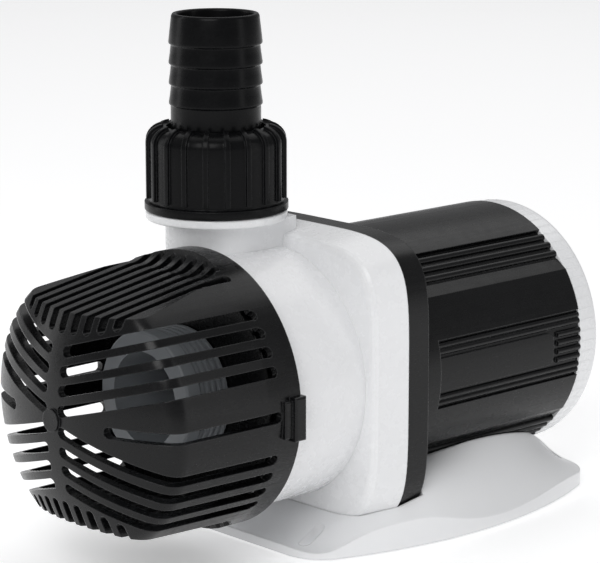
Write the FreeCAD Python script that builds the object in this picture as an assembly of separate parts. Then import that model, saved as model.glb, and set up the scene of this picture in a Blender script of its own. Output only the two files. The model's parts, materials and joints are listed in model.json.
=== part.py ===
import FreeCAD, Part
import math
import os

# Submersible circulation pump, in millimetres.  +Z up, +Y from the inlet to the rear,
# origin on the floor under the pump's axis, in the joint between white casing and motor.
V = FreeCAD.Vector
X, Y, Z = V(1, 0, 0), V(0, 1, 0), V(0, 0, 1)

# ---------------------------------------------------------------- overall sizes
AXIS_H = 62.0          # pump axis above the floor
CAGE_R = 52.0          # strainer rim
VOLUTE_R = 48.1        # round white casing
BLOCK_HALF = 55.3      # squarish block at the joint, half its width
MOTOR_R = 49.7         # round black motor body
MOTOR_END = 101.9      # rear end of the motor body
CAP_END = MOTOR_END + 12.1         # rear face of the rear cap
RIM_Y = -50.7          # rear edge of the strainer
NOSE_Y = -122.0        # front of the strainer
OUT_X, OUT_Y = -16.1, -30.8     # outlet axis
RING_Z = AXIS_H + 58.5          # underside of the outlet's white collar

# ---------------------------------------------------------------- clearances
GAP = 0.3              # between pieces that move apart
TOUCH = 0.05           # between pieces fixed together
RUN = 0.05             # radial running fit of the bushes

# ---------------------------------------------------------------- casing
BLOCK_FRONT = -15.0
BLOCK_ROUND = 3.2
CREASE_HALF = 53.0
BLOCK_POWER = 5.0
CASE_FRONT = -57.0
CHAMBER_FRONT, CHAMBER_BACK = -46.0, -18.0
SPIRAL_MIN, SPIRAL_MAX = 33.0, 41.5
BORE_R = 14.2          # outlet and hose tail water way
NECK_R = 19.2
OUT_THREAD_R, OUT_THREAD_L = 23.0, 18.0
COLLAR_R, COLLAR_T = OUT_THREAD_R + 3.5, 3.4
SEAT_R = 45.8          # bore that takes the motor's front ring
INLET_R = 17.5
SOCKET_R = 20.5        # threaded socket of the inlet spigot

# ---------------------------------------------------------------- inlet spigot
SPIGOT_R, SPIGOT_END = 24.4, -80.0
SPIGOT_BAND_R, SPIGOT_BAND_L = 25.0, 6.0
SPIGOT_PITCH = 2.75
COVER_R, COVER_T = VOLUTE_R - 2.1, 3.0

# ---------------------------------------------------------------- motor
FLANGE_T = 11.5
FLANGE_HALF = 55.0
GROOVE_D, BAND_D = 2.0, 1.4        # ribbed grooves and side bands along the motor
BAND_START = 8.5
WALL = 3.0
FRONT_WALL_T = 4.0
CAN_R, CAN_WALL = 16.0, 1.5
CAN_END = 56.0
CAN_PLATE_T = 2.5
CAN_PLATE_R = 43.0
STACK_Y0, STACK_L, STACK_R = 10.0, 38.0, 40.0
TEETH = 9
TOOTH_W, YOKE_T, SHOE_T = 6.0, 7.0, 2.0
COIL_W, COIL_OVER = 12.4, 4.5
BOARD_Y, BOARD_R, BOARD_T = 70.0, 38.0, 1.6
SCREW_AT = 42.0        # casing screws, across and up from the axis
CAP_SCREW_PCR = 41.5

# ---------------------------------------------------------------- rotor
SHAFT_R = 3.0
SHAFT_Y0, SHAFT_Y1 = -54.0, 60.0
BUSH_R, BUSH_L = 5.0, 9.0
HUB_R = 7.0
MAGNET_R, MAGNET_Y0, MAGNET_Y1 = CAN_R - 1.0, 2.0, 49.0
IMP_R, IMP_DISC_Y, IMP_DISC_T = 31.0, -21.5, 2.0
BLADE_FRONT, BLADES, BLADE_T = -42.5, 6, 1.8
HOLDER_R = 6.0

# ---------------------------------------------------------------- strainer
CAGE_WALL = 2.8
TOP_FLAT = (45.8, 39.0)            # flat above the axis, at its rear and its front
LOW_FLAT = (41.6, 40.6)            # flat below the axis
FLAT_Y0, FLAT_Y1 = -70.0, -109.0
TOP_PITCH, TOP_SLOT_W, TOP_SLOTS = 6.1, 3.5, 9
SIDE_SLOT_W = 4.0
SIDE_ANGLES = (18.0, 26.0, 34.0, 42.0)
NOSE_Z = (3.8, 11.1, 18.0, 25.0)
TWIST = 18.0
LUG_R, LUG_HALF = VOLUTE_R + 2.3, 3.0
LUG_Y0, LUG_Y1 = -56.0, -53.5

# ---------------------------------------------------------------- cord gland
CORD_R, GLAND_R = 3.0, 6.0
GLAND_DROP = 18.0      # below the pump axis

# ---------------------------------------------------------------- union and hose tail
NUT_Z0, NUT_Z1 = AXIS_H + 62.2, AXIS_H + 93.8
NUT_R, NUT_BASE_R, NUT_BASE_T = OUT_THREAD_R + 3.5, OUT_THREAD_R + 3.9, 3.0
NUT_RIBS, NUT_RIB_W, NUT_RIB_H, NUT_RIB_START = 20, 2.3, 1.2, 4.2
NUT_MOUTH_R = 18.6
TAIL_END = AXIS_H + 135.0
TAIL_R, BARB_R, BARB_PITCH, BARBS = 16.6, 17.4, 7.5, 4
BARB_TOP = AXIS_H + 124.1
FLANGE_Z0, TAIL_FLANGE_T, TAIL_FLANGE_R = AXIS_H + 82.4, 3.6, OUT_THREAD_R - 0.4
GASKET_T = 2.0

# ---------------------------------------------------------------- base
BASE_HALF, BASE_MID = 58.6, 38.0
BASE_Y0, BASE_Y1 = -38.0, 118.0
BASE_SIDE_R = 182.0
BASE_WALL = 3.0
SLOT_R, SLOT_L, SLOT_X, SLOT_FRONT, SLOT_REAR = 2.6, 11.0, 31.0, -26.0, 106.0
STRIP_T, STRIP_W = 2.4, 8.0
# where the base screws' heads bear
FRONT_SEAT, REAR_SEAT = AXIS_H - BLOCK_HALF - 3.3, AXIS_H - MOTOR_R - 4.3
STRIPS = ((0.0, 34.0), (94.0, 30.0))       # rubber foot strips: middle in Y, half length in X
BASE_SCREWS = ((-25, -8.5, 0), (25, -8.5, 0), (-12, 82.0, 1), (12, 82.0, 1))

C0 = V(0, 0, AXIS_H)


# ================================================================ helpers
def cyl(r, y0, y1, x=0.0, z=0.0):
    """Cylinder along Y about the pump axis, or moved off it."""
    return Part.makeCylinder(r, y1 - y0, V(x, y0, AXIS_H + z), Y)


def pipe(r1, r0, y0, y1, x=0.0, z=0.0):
    return cyl(r1, y0, y1, x, z).cut(cyl(r0, y0 - 1, y1 + 1, x, z))


def up(r, z0, z1, x=OUT_X, y=OUT_Y):
    """Cylinder along Z, about the outlet axis unless told otherwise."""
    return Part.makeCylinder(r, z1 - z0, V(x, y, z0), Z)


def tube_up(r1, r0, z0, z1):
    return up(r1, z0, z1).cut(up(r0, z0 - 1, z1 + 1))


def box(x0, x1, y0, y1, z0, z1):
    return Part.makeBox(x1 - x0, y1 - y0, z1 - z0, V(x0, y0, z0))


def turned(shape, deg):
    """Copy turned about the pump axis."""
    out = shape.copy()
    out.rotate(C0, Y, deg)
    return out


def ring_of(shape, n, start=0.0):
    return [turned(shape, start + 360.0 * i / n) for i in range(n)]


def fuse(first, *rest):
    parts = []
    for item in rest:
        parts += item if isinstance(item, list) else [item]
    return first.multiFuse(parts).removeSplitter() if parts else first


def cut(body, *tools):
    for item in tools:
        for tool in item if isinstance(item, list) else [item]:
            body = body.cut(tool)
    return body


def face_of(points):
    return Part.Face(Part.makePolygon(points + [points[0]]))


def revolve_y(profile):
    """Solid of revolution about the pump axis from (radius, y) points."""
    face = face_of([V(r, y, AXIS_H) for r, y in profile])
    return face.revolve(C0, Y, 360)


def revolve_up(profile, x=OUT_X, y=OUT_Y):
    face = face_of([V(x + r, y, z) for r, z in profile])
    return face.revolve(V(x, y, 0), Z, 360)


def squircle(half, y, power=BLOCK_POWER, steps=64):
    pts = []
    for i in range(steps):
        t = 2 * math.pi * i / steps
        c, w = math.cos(t), math.sin(t)
        r = half / (abs(c) ** power + abs(w) ** power) ** (1 / power)
        pts.append(V(r * c, y, AXIS_H + r * w))
    curve = Part.BSplineCurve()
    curve.interpolate(Points=pts, PeriodicFlag=True)
    return Part.Wire(curve.toShape())


def squircle_block(stations):
    """Loft of squircles, each station being (y, half width)."""
    return Part.makeLoft([squircle(h, y) for y, h in stations], True, True)


def fillet_where(shape, radius, test):
    edges = [e for e in shape.Edges if test(e)]
    return shape.makeFillet(radius, edges)


def on_y(edge, y, tol=0.02):
    b = edge.BoundBox
    return abs(b.YMin - y) < tol and abs(b.YMax - y) < tol


def on_z(edge, z, tol=0.02):
    b = edge.BoundBox
    return abs(b.ZMin - z) < tol and abs(b.ZMax - z) < tol


def polar(r, deg):
    a = math.radians(deg)
    return r * math.cos(a), r * math.sin(a)


def sector(r0, r1, y0, y1, deg, half):
    """Part of a ring about the pump axis, centred on an angle from +X towards +Z."""
    far = r1 * 1.5
    x1, z1 = polar(far, deg - half)
    x2, z2 = polar(far, deg)
    x3, z3 = polar(far, deg + half)
    pts = [(0, 0), (x1, z1), (x2, z2), (x3, z3)]
    wedge = face_of([V(x, y0, AXIS_H + z) for x, z in pts]).extrude(V(0, y1 - y0, 0))
    return pipe(r1, r0, y0, y1).common(wedge)


def screw(head_r, head_t, shank_r, length, drive_r=1.4, drive_t=1.6):
    """Socket screw along -Y: head from y = 0 to +head_t, shank below it."""
    head = Part.makeCylinder(head_r, head_t, V(0, 0, 0), Y)
    head = head.makeChamfer(0.35, [e for e in head.Edges if on_y(e, head_t)])
    shank = Part.makeCylinder(shank_r, length, V(0, -length, 0), Y)
    shank = shank.makeChamfer(0.4, [e for e in shank.Edges if on_y(e, -length)])
    hexagon = [V(*(lambda p: (p[0], head_t - drive_t, p[1]))(polar(drive_r, 60 * i))) for i in range(6)]
    socket = face_of(hexagon).extrude(V(0, drive_t + 1, 0))
    return head.fuse(shank).removeSplitter().cut(socket)


def placed(shape, where, axis=None, deg=0.0):
    out = shape.copy()
    if axis is not None:
        out.rotate(V(0, 0, 0), axis, deg)
    out.translate(where)
    return out


# ================================================================ strainer cage
def flat_tool(d, heights):
    """Everything above one flat and its S-shaped step behind the rim, moved inwards by d."""
    z0, z1 = AXIS_H + heights[0] - d, AXIS_H + heights[1] - d
    rim = AXIS_H + CAGE_R - d
    y0 = -57.0 + 0.3 * d
    step = Part.BSplineCurve()
    step.interpolate(Points=[V(0, y0, rim + 2), V(0, y0 - 2.5, rim - 1.2), V(0, y0 - 7.0, z0 + 1.4),
                             V(0, FLAT_Y0, z0)])
    rest = Part.makePolygon([V(0, FLAT_Y0, z0), V(0, FLAT_Y1, z1), V(0, -130.0, z1 - 4.0),
                             V(0, -130.0, AXIS_H + 80), V(0, y0, AXIS_H + 80), V(0, y0, rim + 2)])
    face = Part.Face(Part.Wire([step.toShape()] + rest.Edges))
    face.translate(V(-70, 0, 0))
    return face.extrude(V(140, 0, 0))


def cage_form(d):
    """Outer form of the strainer, moved inwards by d: wall, shoulder, shallow nose, two flats."""
    r = CAGE_R - d
    nose = NOSE_Y + d
    k = 0.9 * d
    wall = [V(0, RIM_Y, AXIS_H), V(r, RIM_Y, AXIS_H), V(r, -66, AXIS_H),
            V(r - 0.9, -102.5 + 0.6 * d, AXIS_H)]
    corner = Part.Arc(wall[-1], V(r - 2.1, -106.6 + 0.7 * d, AXIS_H), V(r - 5.2, -109.6 + 0.8 * d, AXIS_H))
    front = Part.BSplineCurve()
    front.interpolate(Points=[V(r - 5.2, -109.6 + 0.8 * d, AXIS_H), V(r - 12.0, -113.5 + k, AXIS_H),
                              V(r - 21.0, -117.2 + k, AXIS_H), V(r * 0.33, nose + 1.3, AXIS_H),
                              V(0, nose, AXIS_H)])
    axis = Part.makeLine(V(0, nose, AXIS_H), wall[0])
    wire = Part.Wire(Part.makePolygon(wall).Edges + [corner.toShape(), front.toShape(), axis])
    body = Part.Face(wire).revolve(C0, Y, 360)
    return cut(body, flat_tool(d, TOP_FLAT), flat_tool(d, LOW_FLAT).mirror(C0, Z))


def stadium(x0, z0, x1, z1, width, y0, y1):
    """Slot with round ends, cut along Y; positions are from the pump axis."""
    dx, dz = x1 - x0, z1 - z0
    length = math.hypot(dx, dz)
    nx, nz = -dz / length * width / 2, dx / length * width / 2
    pts = [(x0 + nx, z0 + nz), (x1 + nx, z1 + nz), (x1 - nx, z1 - nz), (x0 - nx, z0 - nz)]
    bar = face_of([V(x, y0, AXIS_H + z) for x, z in pts]).extrude(V(0, y1 - y0, 0))
    return bar.fuse(cyl(width / 2, y0, y1, x0, z0))


def side_slots():
    """Slots of one quarter's side and nose; each starts by the middle bar."""
    cuts = []
    end = -60.0
    for deg, z0 in zip(SIDE_ANGLES, NOSE_Z):
        x1, z1 = polar(CAGE_R + 1.0, deg)
        start = 3.0 + SIDE_SLOT_W / 2
        cuts.append(stadium(start, z0, x1, z1, SIDE_SLOT_W, -130, end - SIDE_SLOT_W / 2))
        # round rear end on the side wall
        plug = Part.makeCylinder(SIDE_SLOT_W / 2, 16, V(CAGE_R - 10, end - SIDE_SLOT_W / 2, AXIS_H), X)
        plug.rotate(C0, Y, -deg)
        cuts.append(plug)
    return cuts


def strainer():
    body = cut(cage_form(0.0), cage_form(CAGE_WALL), cyl(VOLUTE_R + 0.4, -58.5, RIM_Y + 1))
    boss = cyl(4.2, NOSE_Y - 1.0, NOSE_Y + 2.2)
    tab = box(CAGE_R - 2.0, CAGE_R + 3.0, RIM_Y - 5.4, RIM_Y, AXIS_H - 9.6, AXIS_H + 6.6)
    tab = tab.makeFillet(0.9, [e for e in tab.Edges if e.BoundBox.XMin > CAGE_R + 2.9])
    step = box(CAGE_R - 2.0, CAGE_R + 1.4, RIM_Y - 8.8, RIM_Y - 4.0, AXIS_H - 8.4, AXIS_H + 5.4)
    step = step.makeFillet(0.7, [e for e in step.Edges if e.BoundBox.XMin > CAGE_R + 1.3])
    tab = tab.fuse(step)
    body = fuse(body, boss, tab, turned(tab, 180))
    quarter = side_slots()
    mid = stadium(27.0, 0, CAGE_R + 6, 0, SIDE_SLOT_W, -130, -60 - SIDE_SLOT_W / 2)
    mid_end = Part.makeCylinder(SIDE_SLOT_W / 2, 16, V(CAGE_R - 10, -60 - SIDE_SLOT_W / 2, AXIS_H), X)
    tools = [mid, mid_end]
    tools += quarter + [q.mirror(C0, Z) for q in quarter]
    tools = tools + [t.mirror(C0, X) for t in tools]
    half = TOP_SLOTS // 2
    for i in range(-half, half + 1):
        x = i * TOP_PITCH
        z_end = 30.6 + 0.0066 * x * x + TOP_SLOT_W / 2
        w = TOP_SLOT_W / 2
        slab = box(x - w, x + w, -130, -61.8, AXIS_H + z_end, AXIS_H + 60)
        slab = slab.fuse(cyl(w, -130, -100, x, z_end)).fuse(up(w, AXIS_H + 38, AXIS_H + 60, x, -61.8))
        tools += [slab, slab.mirror(C0, Z)]
    for t in tools:
        body = body.cut(t)
    # bayonet groove and its way in, one behind each tab
    grooves = []
    for side in (0.0, 180.0):
        run = sector(VOLUTE_R - 2, LUG_R + 0.4, LUG_Y0 - 0.4, LUG_Y1 + 0.4,
                     side + TWIST / 2, TWIST / 2 + LUG_HALF + 0.8)
        way = sector(VOLUTE_R - 2, LUG_R + 0.4, LUG_Y1 - 0.5, RIM_Y + 1, side + TWIST, LUG_HALF + 0.8)
        grooves += [run, way]
    return cut(body, grooves)


# ================================================================ white casing
def spiral_chamber():
    steps = 24
    pts = []
    for i in range(steps + 1):
        f = i / steps
        x, z = polar(SPIRAL_MIN + (SPIRAL_MAX - SPIRAL_MIN) * f, 75 - 360 * f)
        pts.append(V(x, CHAMBER_FRONT, AXIS_H + z))
    curve = Part.BSplineCurve()
    curve.interpolate(Points=pts)
    wire = Part.Wire([curve.toShape(), Part.makeLine(pts[-1], pts[0])])
    return Part.Face(wire).extrude(V(0, CHAMBER_BACK - CHAMBER_FRONT, 0))


def neck(r, z0, z1):
    """Round neck with a flat-sided web back into the block."""
    web = box(OUT_X - r, OUT_X + r, OUT_Y, -8.0, z0, z1)
    return up(r, z0, z1).fuse(web).removeSplitter()


def block_stations(grow):
    """Stations of the casing's square block, its front edge rounded, all moved outwards by grow."""
    front = [(math.sin(math.radians(t)), math.cos(math.radians(t))) for t in (0, 22, 45, 68, 90)]
    return [(BLOCK_FRONT - grow + BLOCK_ROUND * (1 - c), CREASE_HALF - BLOCK_ROUND * (1 - s) + grow)
            for s, c in front] + [(0, BLOCK_HALF + grow)]


def volute():
    block = squircle_block(block_stations(0))
    drum = cyl(VOLUTE_R, CASE_FRONT, BLOCK_FRONT + 2)
    drum = fillet_where(drum, 1.5, lambda e: on_y(e, CASE_FRONT))
    body = fuse(block, drum, neck(NECK_R, AXIS_H + 20, RING_Z + 0.5))
    collar = up(COLLAR_R, RING_Z, RING_Z + COLLAR_T)
    collar = fillet_where(collar, 0.9, lambda e: on_z(e, RING_Z) or on_z(e, RING_Z + COLLAR_T))
    stub = up(OUT_THREAD_R, RING_Z, RING_Z + COLLAR_T + OUT_THREAD_L)
    stub = stub.makeChamfer(0.8, [e for e in stub.Edges if on_z(e, RING_Z + COLLAR_T + OUT_THREAD_L)])
    body = fuse(body, collar, stub)
    body = cut(body, spiral_chamber(),
               cyl(SEAT_R, CHAMBER_BACK, 1),
               up(BORE_R, AXIS_H + 24, RING_Z + 40),
               cyl(INLET_R, CASE_FRONT - 1, CHAMBER_FRONT + 1),
               cyl(SOCKET_R, CASE_FRONT - 1, CASE_FRONT + 6))
    # spider that carries the front end of the shaft
    arm = box(HOLDER_R, INLET_R + 1, -50.5, -46.5, AXIS_H - 1.4, AXIS_H + 1.4)
    hub = cyl(HOLDER_R + 2.0, -56.0, -46.5).cut(cyl(HOLDER_R, -55.0, -46))
    body = fuse(body, hub, [turned(arm, 30 + 120 * i) for i in range(3)])
    body = cut(body, cyl(HOLDER_R, -55.0, -46))
    lugs = [sector(VOLUTE_R - 1.0, LUG_R, LUG_Y0, LUG_Y1, a, LUG_HALF) for a in (0, 180)]
    body = fuse(body, lugs)
    holes = [cyl(1.75, -13.0, 1, sx * SCREW_AT, sz * SCREW_AT) for sx in (-1, 1) for sz in (-1, 1)]
    base_holes = [up(1.75, AXIS_H - BLOCK_HALF - 1, AXIS_H - BLOCK_HALF + 9, x, y)
                  for x, y, rear in BASE_SCREWS if not rear]
    return cut(body, holes, base_holes)


def inlet_spigot():
    tail = pipe(SOCKET_R - TOUCH, INLET_R, CASE_FRONT - COVER_T - 1, CASE_FRONT + 5.6)
    face = CASE_FRONT - COVER_T - TOUCH
    tube = pipe(SPIGOT_R - 1.1, INLET_R, SPIGOT_END, face)
    band = pipe(SPIGOT_BAND_R, INLET_R, SPIGOT_END, SPIGOT_END + SPIGOT_BAND_L)
    band = band.makeChamfer(0.7, [e for e in band.Edges if on_y(e, SPIGOT_END)])
    rings = []
    y = SPIGOT_END + SPIGOT_BAND_L + SPIGOT_PITCH * 0.62
    while y < face - 1.0:
        rings.append(revolve_y([(INLET_R + 1, y - 1.15), (SPIGOT_R - 1.1, y - 1.15), (SPIGOT_R, y - 0.6),
                                (SPIGOT_R, y + 0.6), (SPIGOT_R - 1.1, y + 1.15), (INLET_R + 1, y + 1.15)]))
        y += SPIGOT_PITCH
    return fuse(tail, tube, band, rings)


def front_cover():
    """Dark disc that closes the casing's front, held by the inlet spigot."""
    disc = cyl(COVER_R, CASE_FRONT - COVER_T, CASE_FRONT - TOUCH)
    disc = fillet_where(disc, 1.0, lambda e: on_y(e, CASE_FRONT - COVER_T))
    return disc.cut(cyl(SOCKET_R, CASE_FRONT - COVER_T - 1, CASE_FRONT + 1))


# ================================================================ rotor and can
def rotor_can():
    plate = cyl(CAN_PLATE_R, CHAMBER_BACK + TOUCH, CHAMBER_BACK + CAN_PLATE_T)
    tube = cyl(CAN_R + CAN_WALL, CHAMBER_BACK + 1, CAN_END + CAN_WALL)
    tube = fillet_where(tube, 1.2, lambda e: on_y(e, CAN_END + CAN_WALL))
    pocket = cyl(HOLDER_R + CAN_WALL, CAN_END, SHAFT_Y1 + 2.2)
    body = fuse(plate, tube, pocket)
    return cut(body, cyl(CAN_R, CHAMBER_BACK - 1, CAN_END - 3.0),
               cyl(HOLDER_R, CAN_END - 4, SHAFT_Y1 + 0.8))


def blade():
    """One backward-curved blade between two arcs, as a thin strip."""
    inner, outer = [], []
    steps = 8
    for i in range(steps + 1):
        f = i / steps
        r = 9.5 + (IMP_R - 0.6 - 9.5) * f
        deg = -52.0 * f
        half = math.degrees(BLADE_T / 2 / r)
        inner.append(polar(r, deg - half))
        outer.append(polar(r, deg + half))
    sides = []
    for row in (inner, outer):
        curve = Part.BSplineCurve()
        curve.interpolate(Points=[V(x, BLADE_FRONT, AXIS_H + z) for x, z in row])
        sides.append(curve.toShape())
    ends = [Part.makeLine(a.Vertexes[i].Point, b.Vertexes[i].Point)
            for a, b, i in ((sides[0], sides[1], 0), (sides[0], sides[1], 1))]
    wire = Part.Wire(Part.__sortEdges__(sides + ends))
    strip = Part.Face(wire).extrude(V(0, IMP_DISC_Y - IMP_DISC_T / 2 - BLADE_FRONT, 0))
    # the blade tips slope back towards the rim
    cone = revolve_y([(0, BLADE_FRONT - 1), (IMP_R + 1, BLADE_FRONT - 1), (IMP_R + 1, BLADE_FRONT + 4.5),
                      (15, BLADE_FRONT)] + [(0, BLADE_FRONT)])
    return strip.cut(cone)


def impeller():
    disc = cyl(IMP_R, IMP_DISC_Y - IMP_DISC_T, IMP_DISC_Y)
    disc = fillet_where(disc, 0.6, lambda e: on_y(e, IMP_DISC_Y) or on_y(e, IMP_DISC_Y - IMP_DISC_T))
    hub = cyl(10.0, -43.0, IMP_DISC_Y)
    hub = fillet_where(hub, 2.0, lambda e: on_y(e, -43.0))
    tail = cyl(HUB_R, IMP_DISC_Y - 1, MAGNET_Y1)
    body = fuse(disc, hub, tail, ring_of(blade(), BLADES))
    return cut(body, cyl(SHAFT_R + 0.6, -44, MAGNET_Y1 + 1), cyl(BUSH_R, -44, -43.0 + BUSH_L),
               cyl(BUSH_R, MAGNET_Y1 - BUSH_L, MAGNET_Y1 + 1))


def magnet():
    body = pipe(MAGNET_R, HUB_R + TOUCH, MAGNET_Y0, MAGNET_Y1)
    return body.makeChamfer(0.6, [e for e in body.Edges if e.BoundBox.XLength > 2 * MAGNET_R - 1
                                  and e.BoundBox.YLength < 0.1])


def bush(y0):
    body = pipe(BUSH_R - 0.02, SHAFT_R + RUN, y0, y0 + BUSH_L - 0.1)
    return body.makeChamfer(0.3, [e for e in body.Edges if e.BoundBox.YLength < 0.01 and
                                  e.BoundBox.XLength > 2 * BUSH_R - 1])


def shaft():
    body = cyl(SHAFT_R, SHAFT_Y0, SHAFT_Y1)
    return body.makeChamfer(0.5, [e for e in body.Edges if on_y(e, SHAFT_Y0) or on_y(e, SHAFT_Y1)])


def holder(y0, y1, open_end):
    """Rubber cup on one end of the shaft."""
    body = cyl(HOLDER_R - TOUCH, y0, y1)
    if open_end > 0:
        return body.cut(cyl(SHAFT_R + 0.02, SHAFT_Y0 - 0.05, y1 + 1))
    return body.cut(cyl(SHAFT_R + 0.02, y0 - 1, SHAFT_Y1 + 0.05))


# ================================================================ motor
def at_polar(r, deg, y):
    x, z = polar(r, deg)
    return V(x, y, AXIS_H + z)


def wedge(r0, r1, y, deg0, deg1):
    """Flat piece of a ring between two angles, standing across the pump at y."""
    mid = (deg0 + deg1) / 2
    outer = Part.Arc(at_polar(r1, deg0, y), at_polar(r1, mid, y), at_polar(r1, deg1, y)).toShape()
    inner = Part.Arc(at_polar(r0, deg1, y), at_polar(r0, mid, y), at_polar(r0, deg0, y)).toShape()
    sides = [Part.makeLine(at_polar(r1, deg1, y), at_polar(r0, deg1, y)),
             Part.makeLine(at_polar(r0, deg0, y), at_polar(r1, deg0, y))]
    return Part.Face(Part.Wire([outer, sides[0], inner, sides[1]]))


def rib_face(deg, r, below, y):
    """Round end of a lengthwise rib whose crest stands below the motor's surface."""
    x, z = polar(MOTOR_R - below - r, deg)
    return Part.Face(Part.Wire([Part.makeCircle(r, V(x, y, AXIS_H + z), Y)]))


def motor_section(y, length, bands, short_ribs):
    """Ribbed part of the motor between y and y + length."""
    face = Part.Face(Part.Wire([Part.makeCircle(MOTOR_R, V(0, y, AXIS_H), Y)]))
    cuts, ribs = [], []
    for side in (1, -1):
        for half in (0, 180):
            # ribbed groove, with a flat on the side nearer the middle
            turn = side if half == 0 else -side
            lo, hi = sorted((half + turn * 41.3, half + turn * 57.7))
            cuts.append(wedge(MOTOR_R - GROOVE_D, MOTOR_R + 2, y, lo, hi))
            d0, d1 = half + turn * 41.4, half + turn * 34.8
            cuts.append(face_of([at_polar(MOTOR_R - GROOVE_D * 0.8, d0, y), at_polar(MOTOR_R, d1, y),
                                 at_polar(MOTOR_R + 4, d1, y), at_polar(MOTOR_R + 4, d0, y)]))
            ribs += [rib_face(half + turn * d, 1.45, 0.25, y) for d in (44.2, 49.3, 54.4)]
    for mid in (0, 180) if bands else ():
        cuts.append(wedge(MOTOR_R - BAND_D, MOTOR_R + 2, y, mid - 15.4, mid + 15.4))
        ribs += [rib_face(mid + d, 1.25, 0.15, y) for d in (-13.2, -10.4, 10.4, 13.2)]
        if short_ribs:
            ribs += [rib_face(mid + d, 1.25, 0.15, y) for d in (-6.0, -2.0, 2.0, 6.0)]
    along = V(0, length, 0)
    return fuse(face.cut(cuts).Faces[0].extrude(along), [rib.extrude(along) for rib in ribs])


def housing():
    flange = squircle_block([(TOUCH, FLANGE_HALF), (FLANGE_T, FLANGE_HALF - 0.3)])
    flange = fillet_where(flange, 0.8, lambda e: on_y(e, FLANGE_T))
    y0, y1 = FLANGE_T + 3.0, MOTOR_END - 13.0
    band = y0 + BAND_START
    body = fuse(cyl(MOTOR_R, 1.0, y0), motor_section(y0, band - y0, False, False),
                motor_section(band, y1 - band, True, False), motor_section(y1, MOTOR_END - y1, True, True))
    # plain panel in the band on each side
    for a in (0, 180):
        panel = sector(MOTOR_R - 2, MOTOR_R - 0.4, band - 0.5, y1 - 2.5, a, 7.6)
        panel = fillet_where(panel, 3.0, lambda e: on_y(e, y1 - 2.5) and e.BoundBox.XLength < 2.2 and
                             e.BoundBox.ZLength < 1.0)
        body = fuse(body, panel)
    body = fuse(body, flange, pipe(SEAT_R - 0.15, 40.5, CHAMBER_BACK + CAN_PLATE_T + TOUCH, 2.0))
    inner = MOTOR_R - WALL
    body = cut(body, cyl(inner, FRONT_WALL_T, MOTOR_END + 1),
               cyl(CAN_R + CAN_WALL + 0.1, -1, FRONT_WALL_T + 1))
    pads = [sector(STACK_R + TOUCH, inner + 0.5, FRONT_WALL_T - 0.5, STACK_Y0 + STACK_L + 2, a, 5.0)
            for a in (45, 135, 225, 315)]
    stops = [sector(STACK_R - 4, inner + 0.5, FRONT_WALL_T - 0.5, STACK_Y0 - TOUCH, a, 5.0)
             for a in (45, 135, 225, 315)]
    bosses = [cyl(4.0, FRONT_WALL_T - 1, MOTOR_END - 6.2, *polar(CAP_SCREW_PCR, a)).common(
        cyl(inner + 0.5, 0, MOTOR_END)) for a in (0, 90, 180, 270)]
    bosses = [b.cut(cyl(STACK_R + TOUCH, 0, STACK_Y0 + STACK_L + 12)) for b in bosses]
    posts = [cyl(3.2, 60.0, BOARD_Y - TOUCH, *polar(44.0, a)).fuse(
        cyl(2.4, 60.0, BOARD_Y - TOUCH, *polar(36.0, a))) for a in (45, 135, 225, 315)]
    bridge = [sector(34.5, inner + 0.5, 60.0, BOARD_Y - TOUCH, a, 2.4) for a in (45, 135, 225, 315)]
    body = fuse(body, pads, stops, bosses, [p.common(cyl(inner + 0.5, 0, 200)) for p in posts], bridge)
    holes = [cyl(1.5, MOTOR_END - 26, MOTOR_END, *polar(CAP_SCREW_PCR, a)) for a in (0, 90, 180, 270)]
    post_holes = [cyl(1.1, BOARD_Y - 7, BOARD_Y + 1, *polar(36.0, a)) for a in (45, 135, 225, 315)]
    through = [cyl(2.2, -1, FLANGE_T + 1, sx * SCREW_AT, sz * SCREW_AT) for sx in (-1, 1) for sz in (-1, 1)]
    sunk = [cyl(4.2, FLANGE_T - 3.0, FLANGE_T + 30, sx * SCREW_AT, sz * SCREW_AT).cut(
                cyl(MOTOR_R - 0.01, 0, 60))
            for sx in (-1, 1) for sz in (-1, 1)]
    low = [up(1.75, AXIS_H - 50.5, AXIS_H - 44.9, x, y) for x, y, rear in BASE_SCREWS if rear]
    return cut(body, holes, post_holes, through, sunk, low)


def stator_core():
    ring = pipe(STACK_R, STACK_R - YOKE_T, STACK_Y0, STACK_Y0 + STACK_L)
    r0 = CAN_R + CAN_WALL + 0.5
    tooth = box(r0, STACK_R - YOKE_T + 1, STACK_Y0, STACK_Y0 + STACK_L,
                AXIS_H - TOOTH_W / 2, AXIS_H + TOOTH_W / 2)
    shoe = sector(r0, r0 + SHOE_T, STACK_Y0, STACK_Y0 + STACK_L, 0, 360.0 / TEETH / 2 - 4.0)
    tooth = tooth.fuse(shoe).cut(cyl(r0, 0, 90))
    return fuse(ring, ring_of(tooth, TEETH))


def coils():
    r0, r1 = CAN_R + CAN_WALL + 0.5 + SHOE_T + 1.2, STACK_R - YOKE_T - 1.1
    a = 0.25
    outer = box(r0, r1, STACK_Y0 - COIL_OVER, STACK_Y0 + STACK_L + COIL_OVER,
                AXIS_H - COIL_W / 2, AXIS_H + COIL_W / 2)
    outer = outer.makeFillet(2.0, [e for e in outer.Edges if e.BoundBox.XLength > 5])
    inner = box(r0 - 1, r1 + 1, STACK_Y0 - a, STACK_Y0 + STACK_L + a,
                AXIS_H - TOOTH_W / 2 - a, AXIS_H + TOOTH_W / 2 + a)
    one = outer.cut(inner)
    return Part.makeCompound(ring_of(one, TEETH))


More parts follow.
